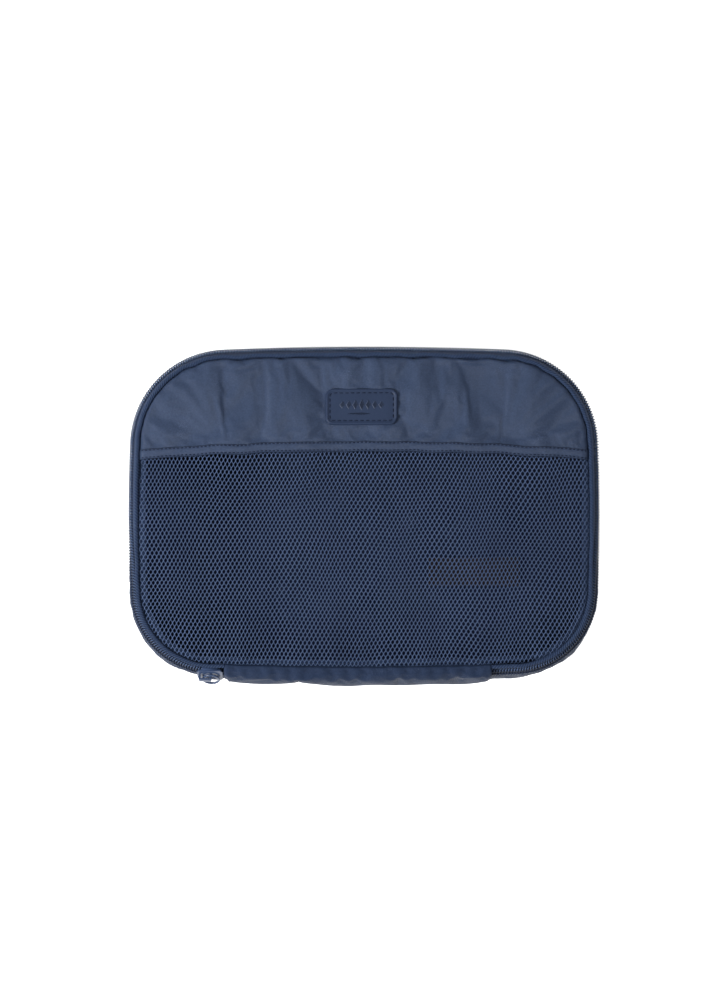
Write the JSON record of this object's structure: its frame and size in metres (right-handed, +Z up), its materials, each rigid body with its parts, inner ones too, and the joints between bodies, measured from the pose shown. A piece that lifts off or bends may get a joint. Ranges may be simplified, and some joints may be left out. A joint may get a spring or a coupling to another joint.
{
  "type": "packing cube",
  "caption": "Soft rounded travel pouch lying flat, with a zipped lid of fabric and mesh, a hinge gusset, a small badge and a coil zip with a ring pull.",
  "frame": {"origin": "centre of the base panel's underside, where it rests", "axes": "+Z up through the lid, +X along the long side, +Y from the hinge side towards the back"},
  "size_m": [0.2508, 0.1799, 0.0668],
  "materials": {
    "nylon": "satin navy nylon, soft and slightly puckered at its seams",
    "mesh": "matt navy warp-knit net",
    "zip_tape": "matt navy polyester tape with a fine diagonal weave",
    "zip_coil": "dark navy nylon filament with a slight shine",
    "binding": "matt grosgrain",
    "thread": "dark navy polyester thread",
    "badge": "smooth satin, moulded with a raised rim",
    "label": "blank woven label",
    "painted_metal": "navy enamel on die-cast zinc"
  },
  "bodies": {
    "base": {"base_panel": "nylon", "side_gusset": "nylon", "hinge_gusset": "nylon", "base_binding": "binding", "gusset_zip_tape": "zip_tape", "gusset_coil": "zip_coil", "lid_tape_end_left": "zip_tape", "lid_tape_end_right": "zip_tape", "lid_coil_end_left": "zip_coil", "lid_coil_end_right": "zip_coil", "bar_tacks": "thread", "care_label": "label"},
    "lid": {"lid_fabric_panel": "nylon", "lid_mesh_panel": "mesh", "lid_hem": "nylon", "lid_hem_stitching": "thread", "lid_binding": "binding", "lid_zip_tape": "zip_tape", "lid_coil": "zip_coil", "badge_patch": "badge", "badge_stitching": "thread"},
    "slider": {"slider_body": "painted_metal"},
    "pull": {"pull_ring": "painted_metal"}
  },
  "joints": [
    {"name": "lid_hinge", "type": "hinge", "parent": "base", "child": "lid", "pos_m": [0, -0.0818, 0.065], "axis": [1, 0, 0], "range_deg": [0, 170]},
    {"name": "slider_run", "type": "hinge", "parent": "base", "child": "slider", "pos_m": [-0.07905, -0.04138, 0.057], "axis": [0, 0, -1], "range_deg": [0, 75]},
    {"name": "pull_swing", "type": "hinge", "parent": "slider", "child": "pull", "pos_m": [-0.08409, -0.08699, 0.05948], "axis": [-0.4887, -0.4201, -0.7647], "range_deg": [0, 80]}
  ]
}
